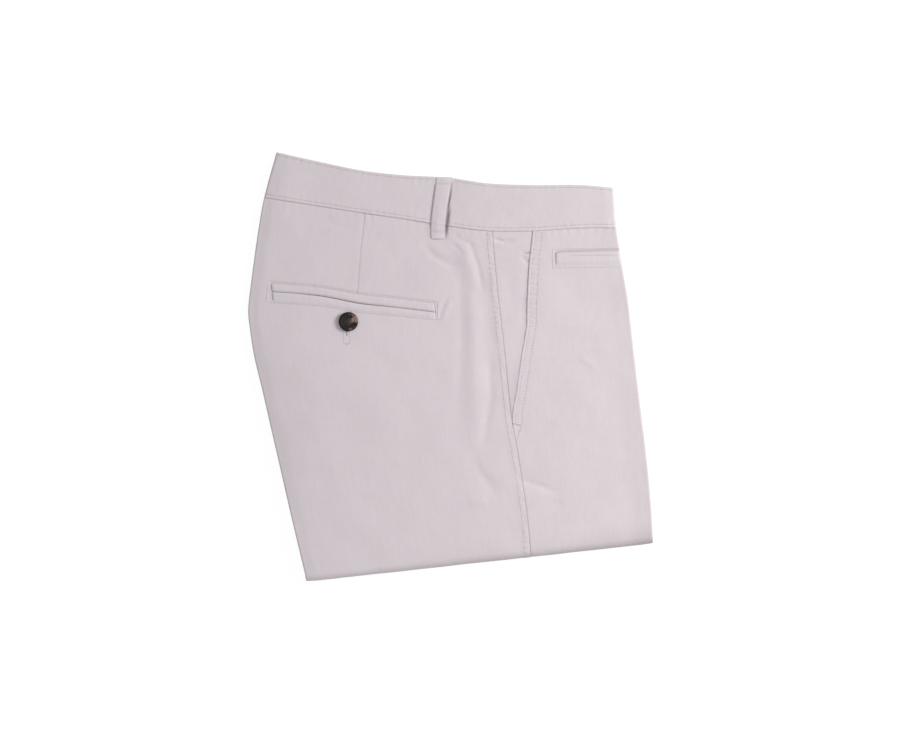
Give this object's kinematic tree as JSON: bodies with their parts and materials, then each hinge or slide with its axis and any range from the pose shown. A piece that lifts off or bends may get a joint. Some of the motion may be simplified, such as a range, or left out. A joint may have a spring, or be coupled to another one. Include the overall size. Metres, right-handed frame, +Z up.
{
  "type": "chino shorts, folded flat",
  "caption": "Cotton twill chino shorts folded flat along the leg creases, leg ends turned under, with waistband, belt loop, slanted side pocket and buttoned welt back pocket.",
  "frame": {"origin": "centre of the folded garment's outline, on the surface it lies on", "axes": "+Z up through the folded layers, +Y towards the waist, +X towards the front fold"},
  "size_m": [0.3559, 0.3774, 0.0147],
  "materials": {
    "twill": "matt brushed cotton twill, pale pinkish stone",
    "twill_inside": "matt cotton twill, inner plies",
    "button": "polished tortoiseshell resin"
  },
  "bodies": {
    "root": {"back_panel_right": "twill", "front_panel_right": "twill", "pocket_facing_right": "twill", "waistband_right": "twill", "waistband_left": "twill", "belt_loop_back_right": "twill", "back_pocket_welt_upper": "twill", "back_pocket_welt_lower": "twill", "coin_pocket_welt": "twill", "folded_layers": "twill_inside", "back_pocket_button": "button"}
  },
  "joints": []
}
